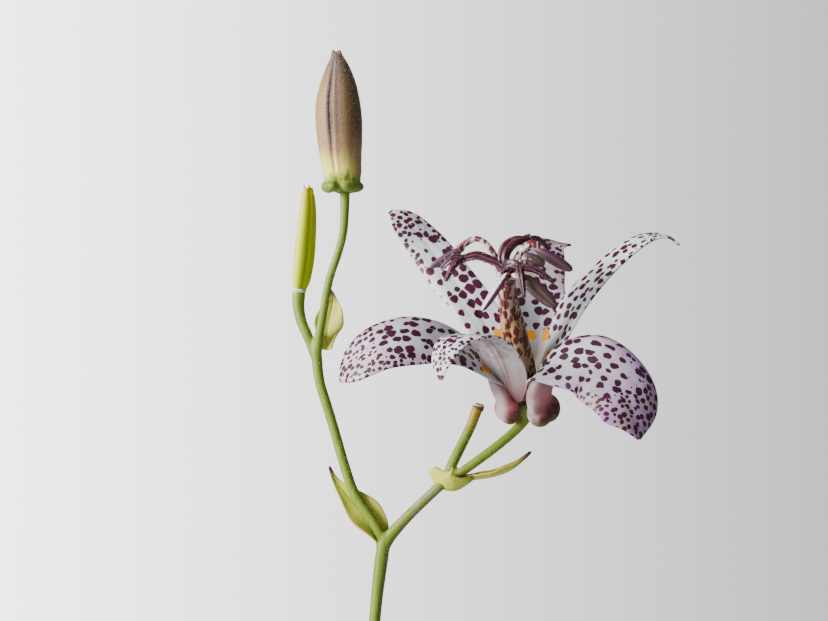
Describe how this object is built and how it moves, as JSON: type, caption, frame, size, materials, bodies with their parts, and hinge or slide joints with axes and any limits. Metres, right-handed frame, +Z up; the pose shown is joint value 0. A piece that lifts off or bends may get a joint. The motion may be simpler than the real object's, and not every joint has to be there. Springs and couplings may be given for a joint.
{
  "type": "potted toad lily",
  "caption": "Toad lily growing in a tapered clay pot: a leafy stem that forks to a spotted open flower, a closed bud and a green seed capsule, to stand on a shelf or table.",
  "frame": {"origin": "middle of the pot's base, on the surface that it stands on", "axes": "+Z up along the stem; the open flower faces -Y and leans to +X, the bud stands over -X"},
  "size_m": [0.1431, 0.114, 0.2832],
  "materials": {
    "pot": "unglazed fired clay, matte",
    "soil": "dark crumbly potting soil",
    "leafy_stem": "green stems and leaves, satin with fine short hairs",
    "flower_bud": "downy bud, mauve-brown over yellow-green",
    "seed_capsule": "smooth lime-green capsule, satin",
    "flower_petals": "waxy white petals with plum spots, yellow throat and mauve sacs",
    "flower_pistil": "maroon arms with beaded glands on a blotched cream style",
    "flower_stamens": "spotted pale filaments with taupe and purple anthers"
  },
  "bodies": {
    "root": {"pot": "pot", "soil": "soil", "leafy_stem": "leafy_stem", "flower_bud": "flower_bud", "seed_capsule": "seed_capsule", "flower_petals": "flower_petals", "flower_pistil": "flower_pistil", "flower_stamens": "flower_stamens"}
  },
  "joints": []
}
